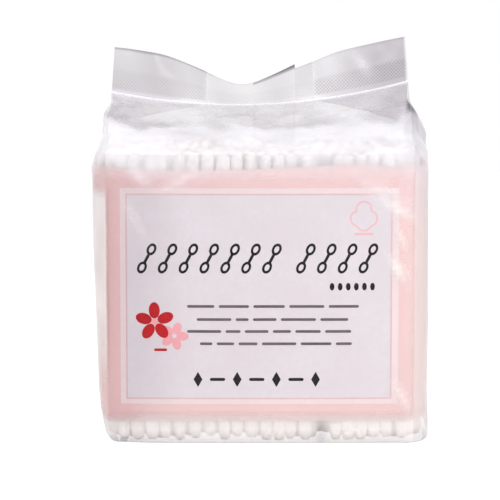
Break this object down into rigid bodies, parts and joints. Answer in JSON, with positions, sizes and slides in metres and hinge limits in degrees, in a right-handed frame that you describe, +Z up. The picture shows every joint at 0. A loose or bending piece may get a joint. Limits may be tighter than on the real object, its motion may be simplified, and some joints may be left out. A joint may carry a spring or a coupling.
{
  "type": "film bag of cotton swabs",
  "caption": "Sealed clear film bag with side gussets and a flat top seal, standing upright, full of cotton swabs with a printed paper band round them.",
  "frame": {"origin": "middle of the bag's flat bottom, on the surface it stands on", "axes": "+Z up along the swabs, -Y towards the printed front, +X to the right seen from the front"},
  "size_m": [0.089, 0.0517, 0.1041],
  "materials": {
    "clear_film": "clear glossy film",
    "printed_paper": "matte print",
    "stick_paper": "matte",
    "cotton": "soft cotton wool"
  },
  "bodies": {
    "root": {"film_bag": "clear_film", "paper_band": "printed_paper", "swab_sticks_row_01": "stick_paper", "swab_sticks_row_02": "stick_paper", "swab_sticks_row_03": "stick_paper", "swab_sticks_row_04": "stick_paper", "swab_sticks_row_05": "stick_paper", "swab_sticks_row_06": "stick_paper", "swab_sticks_row_07": "stick_paper", "swab_sticks_row_08": "stick_paper", "swab_sticks_row_09": "stick_paper", "swab_sticks_row_10": "stick_paper", "swab_sticks_row_11": "stick_paper", "swab_sticks_row_12": "stick_paper", "swab_sticks_row_13": "stick_paper", "swab_sticks_row_14": "stick_paper", "swab_tips_row_01": "cotton", "swab_tips_row_02": "cotton", "swab_tips_row_03": "cotton", "swab_tips_row_04": "cotton", "swab_tips_row_05": "cotton", "swab_tips_row_06": "cotton", "swab_tips_row_07": "cotton", "swab_tips_row_08": "cotton", "swab_tips_row_09": "cotton", "swab_tips_row_10": "cotton", "swab_tips_row_11": "cotton", "swab_tips_row_12": "cotton", "swab_tips_row_13": "cotton", "swab_tips_row_14": "cotton"}
  },
  "joints": []
}
